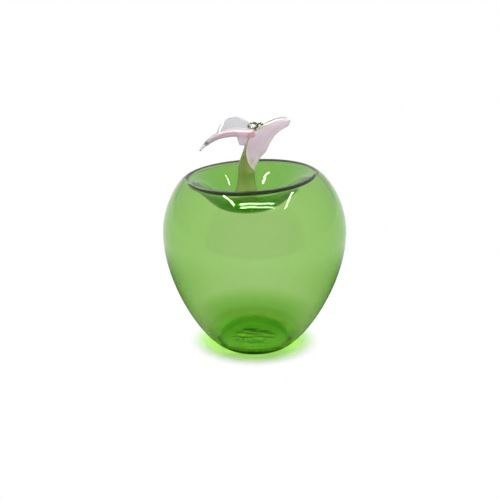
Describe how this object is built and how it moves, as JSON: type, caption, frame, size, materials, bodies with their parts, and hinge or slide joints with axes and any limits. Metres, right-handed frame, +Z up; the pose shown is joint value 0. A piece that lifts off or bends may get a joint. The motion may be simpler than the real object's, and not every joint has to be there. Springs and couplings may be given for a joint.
{
  "type": "art glass apple",
  "caption": "Hollow blown green glass apple with an off-centre top dimple, an olive glass stem, pale pink glass leaves and a flat base, a free-standing ornament.",
  "frame": {"origin": "middle of the flat base, on the surface that the apple stands on", "axes": "+Z up through the body; -Y faces the viewer of the picture and +X is the viewer's right"},
  "size_m": [0.09, 0.09, 0.1153],
  "materials": {
    "green_glass": "polished",
    "olive_glass": "polished",
    "pink_glass": "polished"
  },
  "bodies": {
    "root": {"body_shell": "green_glass", "pontil_button": "green_glass", "stem": "olive_glass", "left_leaf": "pink_glass", "right_leaf": "pink_glass"}
  },
  "joints": []
}
